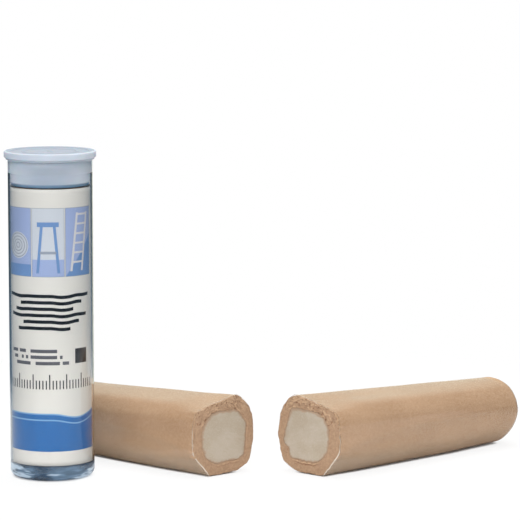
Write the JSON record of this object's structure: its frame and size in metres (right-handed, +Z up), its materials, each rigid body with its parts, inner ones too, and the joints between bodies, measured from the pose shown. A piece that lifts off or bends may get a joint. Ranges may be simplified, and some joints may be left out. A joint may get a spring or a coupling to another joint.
{
  "type": "wood epoxy putty stick",
  "caption": "Two-part wood repair putty: a capped clear tube with a printed roll and a film-wrapped stick, beside cut sticks that show a pale core in a tan jacket.",
  "frame": {"origin": "middle of the clear tube's flat base, on the surface that the tube and the cut sticks stand on", "axes": "+Z up along the tube; +X to the right, from the tube towards the cut sticks; the cut faces look towards -Y"},
  "size_m": [0.158, 0.074, 0.097],
  "materials": {
    "clear_styrene": "clear, faintly blue, glossy",
    "frosted_polythene": "milky blue-grey, satin",
    "printed_paper": null,
    "clear_film": "thin clear film, satin",
    "tan_putty": "tan putty, smooth under the film and crumbly where cut",
    "pale_putty": "off-white putty, matt, with drag marks where cut"
  },
  "bodies": {
    "tube": {"clear_tube": "clear_styrene", "printed_roll": "printed_paper"},
    "stick": {"stick_film": "clear_film", "stick_jacket": "tan_putty", "stick_core": "pale_putty"},
    "cap": {"plug_cap": "frosted_polythene"},
    "left_stick": {"left_film": "clear_film", "left_jacket": "tan_putty", "left_core": "pale_putty"},
    "right_stick": {"right_film": "clear_film", "right_jacket": "tan_putty", "right_core": "pale_putty"}
  },
  "joints": [
    {"name": "stick_slide", "type": "slide", "parent": "tube", "child": "stick", "axis": [0, 0, 1], "range_m": [0, 0.095]},
    {"name": "cap_pull", "type": "slide", "parent": "stick", "child": "cap", "axis": [0, 0, 1], "range_m": [0, 0.03]},
    {"name": "left_lift", "type": "slide", "parent": "tube", "child": "left_stick", "axis": [0, 0, 1], "range_m": [0, 0.1]},
    {"name": "right_lift", "type": "slide", "parent": "tube", "child": "right_stick", "axis": [0, 0, 1], "range_m": [0, 0.1]}
  ]
}
